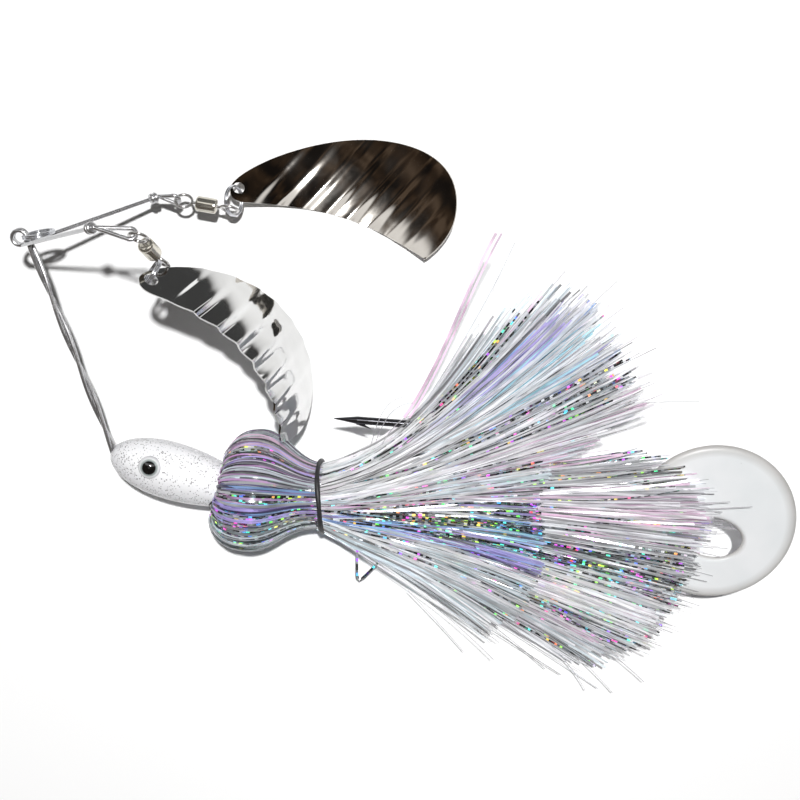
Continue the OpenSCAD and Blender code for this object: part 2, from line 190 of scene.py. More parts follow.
# ---------- materials ----------
class Nodes:
    """Short-hand for building the nodes of a material or of the world."""

    def __init__(self, owner, output="OutputMaterial"):
        self.owner = owner
        owner.use_nodes = True
        self.tree = owner.node_tree
        self.tree.nodes.clear()
        self.out = self.add(output)

    def add(self, kind, inputs=None, **settings):
        node = self.tree.nodes.new("ShaderNode" + kind)
        for key, value in settings.items():
            setattr(node, key, value)
        for key, value in (inputs or {}).items():
            self.put(node.inputs[key], value)
        return node

    def put(self, socket, value):
        """Links a node or a socket to an input, or sets a plain value."""
        if isinstance(value, bpy.types.Node):
            value = value.outputs[0]
        if isinstance(value, bpy.types.NodeSocket):
            self.tree.links.new(value, socket)
        else:
            socket.default_value = value

    def math(self, operation, *values):
        """One step of arithmetic on up to three values."""
        return self.add("Math", dict(enumerate(values)), operation=operation)

    def ramp(self, factor, stops, mode="LINEAR"):
        """Colours at places from 0 to 1, read at the factor."""
        node = self.add("ValToRGB", {"Fac": factor})
        node.color_ramp.interpolation = mode
        elements = node.color_ramp.elements
        while len(elements) < len(stops):
            elements.new(0.5)
        for element, (place, colour) in zip(elements, stops):
            element.position = place
            element.color = (*colour, 1)
        return node

    def mix(self, factor, a, b, blend="MIX"):
        return self.add("MixRGB", {"Fac": factor, "Color1": a, "Color2": b}, blend_type=blend)

    def value(self, name):
        """A number that the mesh keeps for each vertex."""
        return self.add("Attribute", attribute_name=name).outputs["Fac"]

    def done(self, shader):
        self.put(self.out.inputs["Surface"], shader)
        return self.owner


def material_nodes(name):
    return Nodes(bpy.data.materials.new(name))


def grey(v):
    return (v, v, v)


def rgba(colour):
    return (*colour, 1)


def metal(name, colour, rough, stain=0.15):
    """Plated metal with faint stains and uneven polish."""
    n = material_nodes(name)
    place = n.add("TexCoord").outputs["Object"]
    blotch = n.add("TexNoise", {"Vector": place, "Scale": 50.0, "Detail": 4.0})
    fine = n.add("TexNoise", {"Vector": place, "Scale": 300.0, "Detail": 2.0})
    dark = tuple(c * (1 - stain) for c in colour)
    base = n.ramp(blotch, [(0.32, dark), (0.62, colour)])
    roughness = n.math("MULTIPLY_ADD", fine, rough, rough * 0.5)
    return n.done(n.add("BsdfPrincipled", {"Base Color": base, "Metallic": 0.88,
                                           "Roughness": roughness}))


def head_paint():
    """Pearl white paint under clear coat, with fine dark and silver flakes, and painted shade that
    greys it towards the outline.
    """
    n = material_nodes("pearl_paint")
    place = n.add("TexCoord").outputs["Object"]
    patchy = n.add("TexNoise", {"Vector": place, "Scale": 90.0, "Detail": 3.0})
    facing = n.add("LayerWeight", {"Blend": 0.42}).outputs["Facing"]
    cells = n.add("TexVoronoi", {"Vector": place, "Scale": 1500.0, "Randomness": 1.0})
    pick = n.add("SeparateColor", {0: cells.outputs["Color"]})
    near = n.math("LESS_THAN", cells.outputs["Distance"], 0.42)
    # flakes come in patches and crowd towards the outline; the middle, where they thin out, reads as
    # a painted highlight
    rare = n.math("MULTIPLY_ADD", patchy, -0.6, n.math("MULTIPLY_ADD", facing, -0.6, 0.96))
    chosen = n.math("GREATER_THAN", pick.outputs[0], rare)
    flake = n.math("MULTIPLY", near, chosen)
    flake_colour = n.ramp(pick.outputs[1], [(0.0, (0.14, 0.14, 0.15)), (0.35, (0.34, 0.33, 0.34)),
                                            (0.80, (0.60, 0.60, 0.62)), (1.0, (0.95, 0.97, 1.0))])
    # painted shade: the body colour greys towards the outline, as the paint turns from the light
    body = n.ramp(facing, [(0.0, (0.93, 0.93, 0.94)), (0.30, (0.84, 0.84, 0.86)),
                           (0.55, (0.62, 0.62, 0.64)), (0.85, (0.40, 0.40, 0.42))])
    base = n.mix(flake, body, flake_colour)
    shader = n.add("BsdfPrincipled", {"Base Color": base, "Roughness": 0.34, "Coat Weight": 0.6,
                                      "Coat Roughness": 0.12, "Subsurface Weight": 0.15,
                                      "Subsurface Radius": (0.002, 0.002, 0.002)})
    return n.done(shader)


def eye_plastic(name, centre, axis, radius):
    """Black pupil in a silver-grey rim, both round about the eye's axis, with painted shade
    darkening the rim's outer edge.
    """
    n = material_nodes(name)
    place = n.add("TexCoord").outputs["Object"]
    off = n.add("VectorMath", {0: place, 1: tuple(centre)}, operation="SUBTRACT")
    crossed = n.add("VectorMath", {0: off, 1: tuple(axis)}, operation="CROSS_PRODUCT")
    length = n.add("VectorMath", {0: crossed}, operation="LENGTH").outputs["Value"]
    share = n.math("DIVIDE", length, radius)
    grain = n.add("TexNoise", {"Vector": place, "Scale": 3000.0})
    wobble = n.math("MULTIPLY_ADD", grain, 0.04, share)
    # the last stop is painted shade: the rim darkens at its outer edge, where the eye meets the head
    colour = n.ramp(wobble, [(0.0, grey(0.004)), (0.60, grey(0.006)), (0.645, (0.24, 0.27, 0.27)),
                             (0.76, (0.46, 0.50, 0.49)), (0.84, (0.78, 0.79, 0.80)),
                             (1.0, (0.60, 0.60, 0.62))])
    shader = n.add("BsdfPrincipled", {"Base Color": colour, "Roughness": 0.12,
                                      "Coat Weight": 1.0, "Coat Roughness": 0.03})
    return n.done(shader)


PAINTED_GLOW = 0.42              # painted glow: emission standing in for light the film scatters within itself
PAINTED_GLINT_GLOW = 0.5         # painted glints: emission that a coloured cell adds
CELLS_PER_MM = 0.8       # holographic cells along a strand
HUE_BANDS = 3.2          # turns of the colour wheel as the slow noise goes from 0 to 1
CLEAR = 0.42             # share of the light that comes through the film
END_CLEAR = 0.18         # how far a strand fades by its end


def pearl_film(n, run, strand, depth):
    """Pearl film: its colour drifts along each strand, and so does a painted shade, as if the film
    turned to and from the light.
    """
    tint = n.add("Attribute", attribute_name="tint").outputs["Color"]
    drift_at = n.add("CombineXYZ", {"X": n.math("MULTIPLY", run, 0.035),
                                    "Y": n.math("MULTIPLY", strand, 3.7)})
    drift = n.add("TexNoise", {"Vector": drift_at, "Scale": 1.0, "Detail": 2.0})
    pearl = n.ramp(drift, [(0.30, (0.60, 0.84, 0.97)), (0.44, (0.95, 0.96, 0.98)),
                           (0.56, (0.97, 0.95, 0.97)), (0.70, (0.92, 0.62, 0.88))])
    pearl = n.mix(0.8, pearl, tint)
    streak_at = n.add("CombineXYZ", {"X": n.math("MULTIPLY", run, 0.06),
                                     "Y": n.math("MULTIPLY", strand, 11.3)})
    streak = n.add("TexNoise", {"Vector": streak_at, "Scale": 1.0, "Detail": 2.0})
    # painted shade in streaks along each strand, multiplied by each strand's painted shade from
    # lying deep in the skirt
    shade = n.ramp(streak, [(0.34, grey(0.55)), (0.54, grey(1.0))])
    pearl = n.mix(1.0, n.mix(1.0, pearl, shade, blend="MULTIPLY"), depth, blend="MULTIPLY")
    return pearl, streak_at


def holographic_film(n, run, strand, streak_at):
    """Short cells, dark, silver or one pure colour; neighbours sparkle alike."""
    warp = n.add("TexNoise", {"Vector": streak_at, "Scale": 9.0})
    cell = n.math("FLOOR", n.math("MULTIPLY_ADD", run, CELLS_PER_MM, warp))
    cell_at = n.add("CombineXYZ", {"X": cell, "Y": strand})
    noise = n.add("TexWhiteNoise", {"Vector": cell_at}, noise_dimensions="3D")
    level = noise.outputs["Value"]
    silver = n.ramp(level, [(0.0, grey(0.015)), (0.36, grey(0.05)), (0.54, (0.24, 0.27, 0.30)),
                            (0.74, (0.52, 0.56, 0.60)), (0.85, (0.92, 0.94, 0.97))], "CONSTANT")
    place = n.add("TexCoord").outputs["Object"]
    region = n.add("TexNoise", {"Vector": place, "Scale": 45.0, "Detail": 1.0})
    own = n.math("MULTIPLY", n.add("SeparateColor", {0: noise.outputs["Color"]}).outputs[1], 0.4)
    hue_at = n.math("MULTIPLY_ADD", region, HUE_BANDS, own)
    hue = n.add("HueSaturation", {"Hue": n.math("FRACT", hue_at), "Saturation": 1.0, "Value": 1.0,
                                  "Color": rgba((0.98, 0.40, 0.12))})
    # the brightest cells take one pure colour of the film; in the tinsel they also glow as painted
    # glints
    spark = n.math("GREATER_THAN", level, 0.90)
    return n.mix(spark, silver, hue), hue, spark


def tinsel():
    """Strands of two kinds: pearl film where kind is 0, holographic film where it is 1."""
    n = material_nodes("tinsel")
    run, kind, strand = n.value("run"), n.value("kind"), n.value("strand")
    share, depth = n.value("share"), n.value("depth")
    pearl, streak_at = pearl_film(n, run, strand, depth)
    holo, hue, spark = holographic_film(n, run, strand, streak_at)
    colour = n.mix(kind, pearl, holo)
    # painted light: the film glows in its own colour by its painted shade, and pure-colour
    # holographic cells glow as painted glints
    painted_glow_colour = n.mix(kind, pearl, n.mix(spark, rgba(grey(0.0)), hue))
    painted_glint_strength = n.math("MULTIPLY", n.math("MULTIPLY", spark, kind), PAINTED_GLINT_GLOW)
    film = n.add("BsdfPrincipled", {"Base Color": colour, "Roughness": 0.2,
                                    "Metallic": n.math("MULTIPLY", kind, 0.35),
                                    "Specular IOR Level": 0.8, "Coat Weight": 0.5,
                                    "Coat Roughness": 0.2, "Emission Color": painted_glow_colour,
                                    "Emission Strength": n.math("MULTIPLY_ADD", depth, PAINTED_GLOW,
                                                                painted_glint_strength)})
    not_holo = n.math("SUBTRACT", 1.0, kind)
    through = n.add("BsdfTranslucent", {"Color": pearl})
    shader = n.add("MixShader", {0: n.math("MULTIPLY", not_holo, CLEAR), 1: film, 2: through})
    end = n.add("BsdfTransparent", {"Color": rgba(grey(1.0))})
    veil = n.math("MULTIPLY", not_holo, n.math("MULTIPLY", share, END_CLEAR))
    return n.done(n.add("MixShader", {0: veil, 1: shader, 2: end}))


def soft_bait():
    """Milky translucent plastic, with painted shade darkening its thin rim."""
    n = material_nodes("soft_bait")
    place = n.add("TexCoord").outputs["Object"]
    cloud = n.add("TexNoise", {"Vector": place, "Scale": 60.0, "Detail": 2.0})
    body = n.ramp(cloud, [(0.35, (0.74, 0.76, 0.77)), (0.65, (0.79, 0.80, 0.81))])
    # painted shade along the curl's outer edge and round its opening
    rim_shade = n.ramp(n.value("edge"), [(0.86, grey(1.0)), (0.96, (0.72, 0.70, 0.68)),
                                         (1.0, (0.55, 0.52, 0.50))])
    colour = n.mix(1.0, body, rim_shade, blend="MULTIPLY")
    cells = n.add("TexVoronoi", {"Vector": place, "Scale": 160.0})
    speck = n.math("LESS_THAN", cells.outputs["Distance"], 0.035)
    colour = n.mix(n.math("MULTIPLY", speck, 0.35), colour, rgba(grey(0.35)))
    shader = n.add("BsdfPrincipled", {"Base Color": colour, "Roughness": 0.38,
                                      "Subsurface Weight": 0.5,
                                      "Subsurface Radius": (0.004, 0.004, 0.004),
                                      "Specular IOR Level": 0.4})
    return n.done(shader)


def rubber(name, colour, rough=0.5):
    """Matt, finely grained rubber or thread."""
    n = material_nodes(name)
    place = n.add("TexCoord").outputs["Object"]
    grain = n.add("TexNoise", {"Vector": place, "Scale": 1800.0, "Detail": 3.0})
    lighter = tuple(min(1, c * 1.8 + 0.01) for c in colour)
    base = n.ramp(grain, [(0.35, colour), (0.7, lighter)])
    shader = n.add("BsdfPrincipled", {"Base Color": base, "Roughness": rough})
    n.put(shader.inputs["Normal"], n.add("Bump", {"Height": grain, "Strength": 0.3,
                                                  "Distance": 0.1 * MM}))
    return n.done(shader)


def chrome(name, colour, rough, smear):
    """Mirror plating with faint smears."""
    n = material_nodes(name)
    place = n.add("TexCoord").outputs["Object"]
    cloud = n.add("TexNoise", {"Vector": place, "Scale": 70.0, "Detail": 5.0, "Distortion": 0.6})
    roughness = n.ramp(cloud, [(0.35, grey(rough)), (0.75, grey(rough + smear))])
    tone = n.ramp(cloud, [(0.3, tuple(c * 0.86 for c in colour)), (0.7, colour)])
    shader = n.add("BsdfPrincipled", {"Base Color": tone, "Metallic": 1.0, "Roughness": roughness})
    return n.done(shader)


def dress(node, material):
    """Gives a CAD node its material."""
    mesh = frame["nodes"][node].data
    if len(mesh.materials) == 0:
        mesh.materials.append(material)
    for i in range(len(mesh.materials)):
        mesh.materials[i] = material


wire_metal = metal("frame_wire", (0.60, 0.60, 0.61), 0.24)
ring_metal = metal("ring_steel", (0.64, 0.65, 0.68), 0.16)
swivel_metal = metal("swivel_steel", (0.58, 0.57, 0.56), 0.16)
barrel_metal = metal("barrel_nickel", (0.66, 0.63, 0.55), 0.1)
hook_metal = metal("hook_black_nickel", (0.10, 0.10, 0.11), 0.16, stain=0.2)
tinsel_film = tinsel()
for node in frame["nodes"]:
    if node.startswith("wire_frame"):
        dress(node, wire_metal)
    if "ring" in node:
        dress(node, ring_metal)
    if "eye" in node and node.startswith("swivel"):
        dress(node, swivel_metal)
    if node.startswith("swivel_barrel"):
        dress(node, barrel_metal)
dress("head", head_paint())
dress("hook", hook_metal)
thread = rubber("white_thread", (0.60, 0.60, 0.62), 0.6)
dress("collar_thread", thread)
dress("inner_tier_thread", thread)
EYE_TILT = math.radians(16)      # the eyes face slightly upwards
EYE_R = 4.3 * MM
for node, side in (("head_eye_right", 1), ("head_eye_left", -1)):
    axis = Vector((0, side * math.cos(EYE_TILT), math.sin(EYE_TILT)))
    dress(node, eye_plastic(node + "_plastic", middle(node), axis, EYE_R))


# ---------- blades ----------
def bezier(p, t):
    """Points of a cubic curve with the four control points p."""
    t = np.asarray(t)[:, None]
    p = np.asarray(p, float)
    u = 1 - t
    return u**3 * p[0] + 3 * u * u * t * p[1] + 3 * u * t * t * p[2] + t**3 * p[3]


def resample(line, count):
    """The same flat line with evenly spaced points."""
    step = np.r_[0, np.cumsum(np.linalg.norm(np.diff(line, axis=0), axis=1))]
    want = np.linspace(0, step[-1], count)
    return np.stack([np.interp(want, step, line[:, i]) for i in range(2)], axis=1)


# a blade's own measures are in mm, from the centre of its hole
BLADE_T = 0.8
CUP_R = 90.0             # the blade is cupped as part of a sphere
CUP_X, CUP_Y = 44.0, 6.0
HOLE_R = 2.2
BLADE_TAIL = (58, 29)    # where the back edge starts to turn down
BLADE_END = (87, 4)      # the farthest point
BLADE_TIP = (78, -15)    # the corner of the belly edge
FLUTE_GAP = 9.9          # distance between flutes, measured along the blade


def blade_height(x, y, flute_angle=math.pi / 2, flute_deep=0.0):
    """Height of the cupped sheet in mm, with flutes of some depth at an angle to its length."""
    cup = CUP_R - np.sqrt(CUP_R**2 - (x - CUP_X)**2 - (y - CUP_Y)**2)
    phase = (x - y / math.tan(flute_angle)) / FLUTE_GAP * 2 * math.pi
    wave = np.sin(phase) + 0.2 * np.sin(2 * phase + 0.6)
    start = np.clip((x - 6) / 10, 0, 1)
    end = np.clip((86 - x) / 14, 0, 1)
    fade = 0.4 + 0.6 * np.clip((20 - y) / 20, 0, 1)      # shallower towards the back edge
    return cup + flute_deep * wave * start * end * fade


def blade_grid(flute_angle=math.pi / 2, flute_deep=0.0, rows=190, cols=60):
    """Points of the cupped sheet, in rows from the hole to the tip, each from belly to back."""
    nose, chin = (-3.3, -0.5), (3, -5.2)
    back = np.vstack([bezier([nose, (-1.5, 9), (30, 30), BLADE_TAIL], np.linspace(0, 1, 60)),
                      bezier([BLADE_TAIL, (76, 28.5), (87, 20), BLADE_END], np.linspace(0, 1, 40)),
                      bezier([BLADE_END, (87, -4), (82, -11), BLADE_TIP], np.linspace(0, 1, 20))])
    belly = np.vstack([bezier([nose, (-3, -4), (-1, -5.6), chin], np.linspace(0, 1, 12)),
                       bezier([chin, (36, -0.5), (52, -4), BLADE_TIP], np.linspace(0, 1, 60))])
    back, belly = resample(back, rows), resample(belly, rows)
    share = np.linspace(0, 1, cols)[None, :, None]
    flat = belly[:, None] * (1 - share) + back[:, None] * share
    x, y = flat[..., 0], flat[..., 1]
    z = blade_height(x, y, flute_angle, flute_deep)
    return np.stack([x, y, z], axis=-1)


def blade(name, node, body, along, face, hollow_out, flutes, material):
    """A cupped sheet with a hole, standing where the CAD blade does.

    along runs from the hole to the tip, face is square to it, and flutes is (angle, depth).
    """
    along = unit(np.array(along, float))
    face = np.array(face, float)
    face = unit(face - (face @ along) * along)
    turn = np.stack([along, np.cross(face, along), face * (1 if hollow_out else -1)], axis=1)

    def placed(grid):
        return grid.reshape(-1, 3) @ turn.T * MM

    smooth = placed(blade_grid())
    shift = np.array(middle(node)) - (smooth.min(0) + smooth.max(0)) / 2
    grid = blade_grid(math.radians(flutes[0]), flutes[1])
    rows, cols, _ = grid.shape
    gx, gy = np.gradient(grid, axis=0), np.gradient(grid, axis=1)
    normal = unit(np.cross(gx, gy) + 1e-9)
    normal[normal[..., 2] < 0] *= -1
    top = placed(grid + normal * BLADE_T / 2) + shift
    low = placed(grid - normal * BLADE_T / 2) + shift
    obj = make_object(name, np.vstack([top, low]), sheet_faces(rows, cols), material)
    merge_and_face_out(obj)
    origin = placed(np.array([[0, 0, blade_height(0.0, 0.0)]]))[0] + shift
    punch_hole(obj, origin, turn[:, 2])
    obj.data.set_sharp_from_angle(angle=math.radians(50))
    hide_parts(node)
    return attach(obj, body)


def merge_and_face_out(obj):
    """Joins points that meet, drops empty faces and turns all faces outwards."""
    work = bmesh.new()
    work.from_mesh(obj.data)
    bmesh.ops.remove_doubles(work, verts=work.verts, dist=0.002 * MM)
    bmesh.ops.dissolve_degenerate(work, edges=work.edges, dist=0.001 * MM)
    bmesh.ops.recalc_face_normals(work, faces=work.faces)
    work.to_mesh(obj.data)
    work.free()


def punch_hole(obj, centre, axis):
    """Cuts the split ring's hole."""
    path = [centre - axis * 6 * MM, centre + axis * 6 * MM]
    pin = tube("punch", obj.data.materials[0], path, HOLE_R * MM, sides=36)
    cut = obj.modifiers.new("hole", "BOOLEAN")
    cut.operation = "DIFFERENCE"
    cut.solver = "EXACT"
    cut.object = pin
    bpy.context.view_layer.update()
    done = obj.evaluated_get(bpy.context.evaluated_depsgraph_get())
    mesh = bpy.data.meshes.new_from_object(done)
    obj.modifiers.clear()
    obj.data = mesh
    bpy.data.objects.remove(pin)


def lying(x, up, out):
    """A direction given along the lure, up the surface and out of it."""
    return x * X + up * SURFACE_UP + out * SURFACE_OUT


# the right blade's plating is painted darker and browner than the left's, as painted reflection of
# the dark brown room it faces
chrome_painted_dark = chrome("chrome_painted_dark", (0.55, 0.52, 0.48), 0.06, 0.10)
bright_chrome = chrome("bright_chrome", (0.74, 0.74, 0.73), 0.04, 0.06)
blade("blade_right_fluted", "blade_right", "blade_body_right",
      (1, 0, 0), lying(0, -0.09, 1), True, (57, 0.24), chrome_painted_dark)
blade("blade_left_fluted", "blade_left", "blade_body_left",
      (0.677, 0.359, -0.643), (0.73, -0.438, 0.524), False, (70, 0.60), bright_chrome)


# ---------- skirt ----------
PALETTE = {
    "pearl": (0.90, 0.91, 0.94), "white": (0.95, 0.95, 0.96), "grey": (0.48, 0.50, 0.52),
    "pink": (0.90, 0.58, 0.80), "violet": (0.48, 0.38, 0.90), "blue": (0.26, 0.50, 0.98),
    "cyan": (0.38, 0.84, 0.98), "plum": (0.55, 0.25, 0.60), "ice": (0.78, 0.91, 0.96),
}
# zones of colour: (from, to, in degrees), colours with their weights, share of holographic strands
BUNDLE_ZONES = [
    (-180, -132, {"ice": 6, "white": 4, "grey": 3, "pearl": 5}, 0.12),
    (-132, -98, {"violet": 1, "grey": 3, "ice": 4, "white": 2}, 0.42),
    (-98, -86, {"violet": 5, "blue": 3, "ice": 2}, 0.30),
    (-86, -62, {"violet": 5, "blue": 1, "grey": 2, "ice": 3, "plum": 2}, 0.32),
    (-62, -40, {"plum": 4, "violet": 2, "ice": 3, "grey": 3}, 0.16),
    (-40, 50, {"grey": 4, "pink": 2, "plum": 2, "ice": 5, "white": 3, "violet": 1}, 0.12),
    (50, 180, {"ice": 3, "white": 3, "grey": 3, "pearl": 4, "violet": 1}, 0.2)]
OUTER_ZONES = [
    (-50, -22, {"white": 5, "grey": 2, "ice": 4, "pearl": 5}, 0.12),
    (-22, -13, {"white": 3, "grey": 3, "ice": 4, "violet": 1, "pearl": 3}, 0.30),
    (-13, -3, {"blue": 6, "violet": 5, "cyan": 1.5, "plum": 1, "white": 1}, 0.12),
    (-3, 4, {"grey": 2, "violet": 3, "blue": 1, "plum": 1, "ice": 3}, 0.40),
    (4, 30, {"white": 7, "pearl": 6, "pink": 3, "grey": 2, "ice": 3}, 0.06),
    (30, 46, {"cyan": 3, "blue": 2, "violet": 2.5, "white": 5, "pearl": 5, "pink": 1}, 0.06),
    (46, 75, {"pink": 1, "ice": 5, "grey": 2, "pearl": 5, "white": 2}, 0.10)]
INNER_ZONES = [
    (-50, -20, {"pink": 1, "grey": 1.5, "pearl": 5, "white": 7, "ice": 4}, 0.20),
    (-20, -12, {"pink": 1.5, "violet": 0.6, "pearl": 5, "white": 7, "grey": 1.5}, 0.14),
    (-12, -5, {"white": 4, "cyan": 1.5, "grey": 3, "pearl": 3}, 0.34),
    (-5, 4, {"white": 6, "violet": 1.5, "pearl": 5, "pink": 2}, 0.06),
    (4, 30, {"violet": 1, "pink": 2, "white": 5, "grey": 4, "pearl": 5}, 0.16)]


def zone_colours(degrees, zones):
    """A colour for each lock of strands from its zone, and 1 where the lock is holographic."""
    tints, kinds = [], []
    for angle in degrees:
        _, _, colours, holographic = next((z for z in zones if z[0] <= angle < z[1]), zones[-1])
        names = list(colours)
        weights = np.array([colours[name] for name in names], float)
        tints.append(PALETTE[names[rng.choice(len(names), p=weights / weights.sum())]])
        kinds.append(float(rng.random() < holographic))
    return np.array(tints), np.array(kinds)


BUNDLE_DARK, FAN_DARK = 0.42, 0.09   # shares of strands painted dark as shade deep in the skirt
FINE_SHARE = 0.07                    # share of hairs in a fan
HAIR = (0.35, 0.34, 0.36)            # colour of the hairs
HAIR_WIDTH = 0.3 * MM
HOLO_WIDTH = 0.75 * MM
LATE_ANGLE = 24                      # strands above this angle take their tint late
LATE_FROM, LATE_OVER = 0.4, 0.35     # shares of a late strand's length


def strips(name, paths, side, widths, tints, kinds, depth, late=False):
    """Flat strands: paths and side are strands x points x 3.

    kinds is 1 for holographic strands, depth is each strand's painted shade, and where late is
    true a strand is pale at first and takes its tint towards its end.
    """
    count, steps, _ = paths.shape
    half = side * (widths / 2)[:, None, None]
    verts = np.stack([paths - half, paths + half], axis=2).reshape(-1, 3)
    first = ((np.arange(count)[:, None] * steps + np.arange(steps - 1)[None, :]) * 2).ravel()
    faces = np.stack([first, first + 1, first + 3, first + 2], axis=1)
    obj = make_object(name, verts, faces, tinsel_film)
    run = np.cumsum(np.linalg.norm(np.diff(paths, axis=1, prepend=paths[:, :1]), axis=2), axis=1)
    add_values(obj, "run", np.repeat(run.ravel() / MM, 2))
    add_values(obj, "share", np.repeat(np.tile(np.linspace(0, 1, steps), count), 2))
    add_values(obj, "kind", np.repeat(kinds, steps * 2))
    add_values(obj, "depth", np.repeat(depth, steps * 2))
    add_values(obj, "strand", np.repeat(np.arange(count), steps * 2))
    begun = np.clip((np.linspace(0, 1, steps) - LATE_FROM) / LATE_OVER, 0, 1)[None, :, None]
    begun = np.where(np.broadcast_to(late, (count,))[:, None, None], begun, 1.0)
    along = tints[:, None] * begun + np.array(PALETTE["white"]) * (1 - begun)
    add_colours(obj, "tint", np.repeat(along.reshape(-1, 3), 2, axis=0))
    return obj


def strand_depth(count, dark_share):
    """Painted shade of each strand: a share of them is painted dark as if in shade deep in the
    skirt, the others light.
    """
    light = rng.uniform(0.72, 1.0, count)
    dark = rng.uniform(0.08, 0.5, count)
    return np.where(rng.random(count) < dark_share, dark, light)


def turned_side(tangent, out, turn):
    """The direction across each strand, turned from lying square to out."""
    across = unit(np.cross(tangent, out))
    flat = unit(np.cross(across, tangent))
    return across * np.cos(turn)[..., None] + flat * np.sin(turn)[..., None]


def bundle_profile(t):
    """Distance along the axis and radius of the folded bundle, from collar to band."""
    front = -BULB_LEN
    widest = (front + 14 * MM, BULB_R)
    fold = bezier([(front + 7 * MM, 8 * MM), (front - 1.5 * MM, 9 * MM),
                   (front - 0.5 * MM, BULB_R), widest], np.linspace(0, 1, 12))
    run = bezier([widest, (front + 25 * MM, BULB_R), (-13 * MM, WAIST_R + 0.5 * MM),
                  (0, WAIST_R)], np.linspace(0, 1, 18))[1:]
    line = resample(np.vstack([fold, run]), 200)
    along = np.linspace(0, 1, 200)
    return np.interp(t, along, line[:, 0]), np.interp(t, along, line[:, 1])


def front_bundle():
    """Strands folded forward and back over the collar, drawn in under the band."""
    count, locks, steps = 1900, 420, 26
    lock_angle = rng.uniform(-180, 180, locks)
    tints, kinds = zone_colours(lock_angle, BUNDLE_ZONES)
    of_lock = rng.integers(0, locks, count)
    angle = np.radians(lock_angle[of_lock] + rng.normal(0, 1.5, count))
    t = np.linspace(0, 1, steps)
    back, radius = bundle_profile(t)
    # strands lie in layers, swell and shift a little, and wander round the bundle
    layer = 1 - 0.16 * rng.random(count) ** 1.3
    swell = rng.normal(0, 0.028, count)
    shift = rng.normal(0, 1.0 * MM, count)
    r = radius[None, :] * (layer[:, None] + swell[:, None] * np.sin(t * math.pi)[None, :])
    a = angle[:, None] + rng.normal(0, 0.05, count)[:, None] * t[None, :]
    x = back[None, :] + (shift + BULB_SLANT * np.cos(angle))[:, None] * (1 - t[None, :])
    paths = settle(skirt_points(x, r * np.sin(a), r * np.cos(a)))
    out = np.sin(a)[..., None] * SIDE + np.cos(a)[..., None] * SKIRT_UP
    turn = np.broadcast_to(rng.normal(0, 0.3, count)[:, None], a.shape)
    side = turned_side(unit(np.gradient(paths, axis=1)), out, turn)
    widths = np.where(kinds[of_lock] > 0, HOLO_WIDTH, rng.uniform(0.45, 0.95, count) * MM)
    depth = strand_depth(count, BUNDLE_DARK)
    return strips("skirt_bundle_strands", paths, side, widths, tints[of_lock], kinds[of_lock],
                  depth)


def curve_between(start, first, last, end, steps):
    """Cubic curves, one for each row of the four control points."""
    t = np.linspace(0, 1, steps)[None, :, None]
    u = 1 - t
    return (u**3 * start[:, None] + 3 * u * u * t * first[:, None]
            + 3 * u * t * t * last[:, None] + t**3 * end[:, None])


def fan(name, count, locks, angle_range, reach_at, thick, start_r, zones, ragged):
    """Strands that leave the band and spread.

    Angles are in degrees up from the skirt's axis. reach_at gives (angle, length) pairs and
    ragged (angle, unevenness) pairs, in mm; thick is the fan's half thickness sideways.
    """
    steps = 16
    low, high = angle_range
    lock_angle = low + (high - low) * rng.beta(1.4, 1.6, locks)
    tints, kinds = zone_colours(lock_angle, zones)
    of_lock = rng.integers(0, locks, count)
    fine = rng.random(count) < FINE_SHARE
    angle = lock_angle[of_lock] + rng.normal(0, 1.1, count) + fine * rng.normal(0, 4, count)
    # how far each strand reaches: by its angle, less by its lock and by itself
    degrees, lengths = np.array(reach_at, float).T
    uneven = np.interp(angle, *np.array(ragged, float).T)
    shorter = 1.4 * np.abs(rng.normal(0, 1, locks))[of_lock]
    shorter = shorter + 0.6 * np.abs(rng.normal(0, 1, count))
    reach = np.interp(angle, degrees, lengths) - uneven * shorter
    reach = (reach + fine * rng.uniform(0, 12, count)) * MM
    # where each strand starts under the band, and how far to the side it ends
    lift = (angle - (low + high) / 2) / (high - low) * 2
    up0 = start_r * np.clip(lift * 0.85 + rng.normal(0, 0.16, count), -0.97, 0.97)
    room = np.sqrt(np.maximum(start_r**2 - up0**2, 0))
    side0 = room * rng.uniform(-1, 1, count)
    lock_side = rng.uniform(-1, 1, locks)[of_lock]
    side1 = (0.6 * lock_side + 0.4 * rng.uniform(-1, 1, count)) * thick
    # strands above the axis leave flatter than they arrive, so they curve upwards
    a = np.radians(angle)
    leave = a * np.where(a > 0, 0.42, 0.8)
    arrive = a * np.where(a > 0, 1.2, 1.0) + rng.normal(0, 0.05, count)
    start = np.stack([np.full(count, -1.0 * MM), side0, up0], axis=1)
    end = np.stack([reach * np.cos(a), side1, reach * np.sin(a)], axis=1)
    first = start + np.stack([0.3 * reach * np.cos(leave), 0.15 * side1,
                              0.3 * reach * np.sin(leave)], axis=1)
    last = end - np.stack([0.4 * reach * np.cos(arrive), 0.25 * side1,
                           0.4 * reach * np.sin(arrive)], axis=1)
    line = curve_between(start, first, last, end, steps)
    paths = settle(skirt_points(line[..., 0], line[..., 1], line[..., 2]))
    widths = np.where(kinds[of_lock] > 0, HOLO_WIDTH, rng.uniform(0.35, 1.0, count) * MM)
    widths = np.where(fine, HAIR_WIDTH, widths)
    t = np.linspace(0, 1, steps)[None, :]
    turn = rng.normal(0, 0.5, count)[:, None] + rng.normal(0, 0.7, count)[:, None] * t
    tangent = unit(np.gradient(paths, axis=1))
    side = turned_side(tangent, np.broadcast_to(SURFACE_OUT, tangent.shape), turn)
    tints = np.where(fine[:, None], np.array(HAIR), tints[of_lock])
    depth = strand_depth(count, FAN_DARK)
    return strips(name, paths, side, widths, tints, kinds[of_lock] * ~fine, depth,
                  late=(angle > LATE_ANGLE) & ~fine)


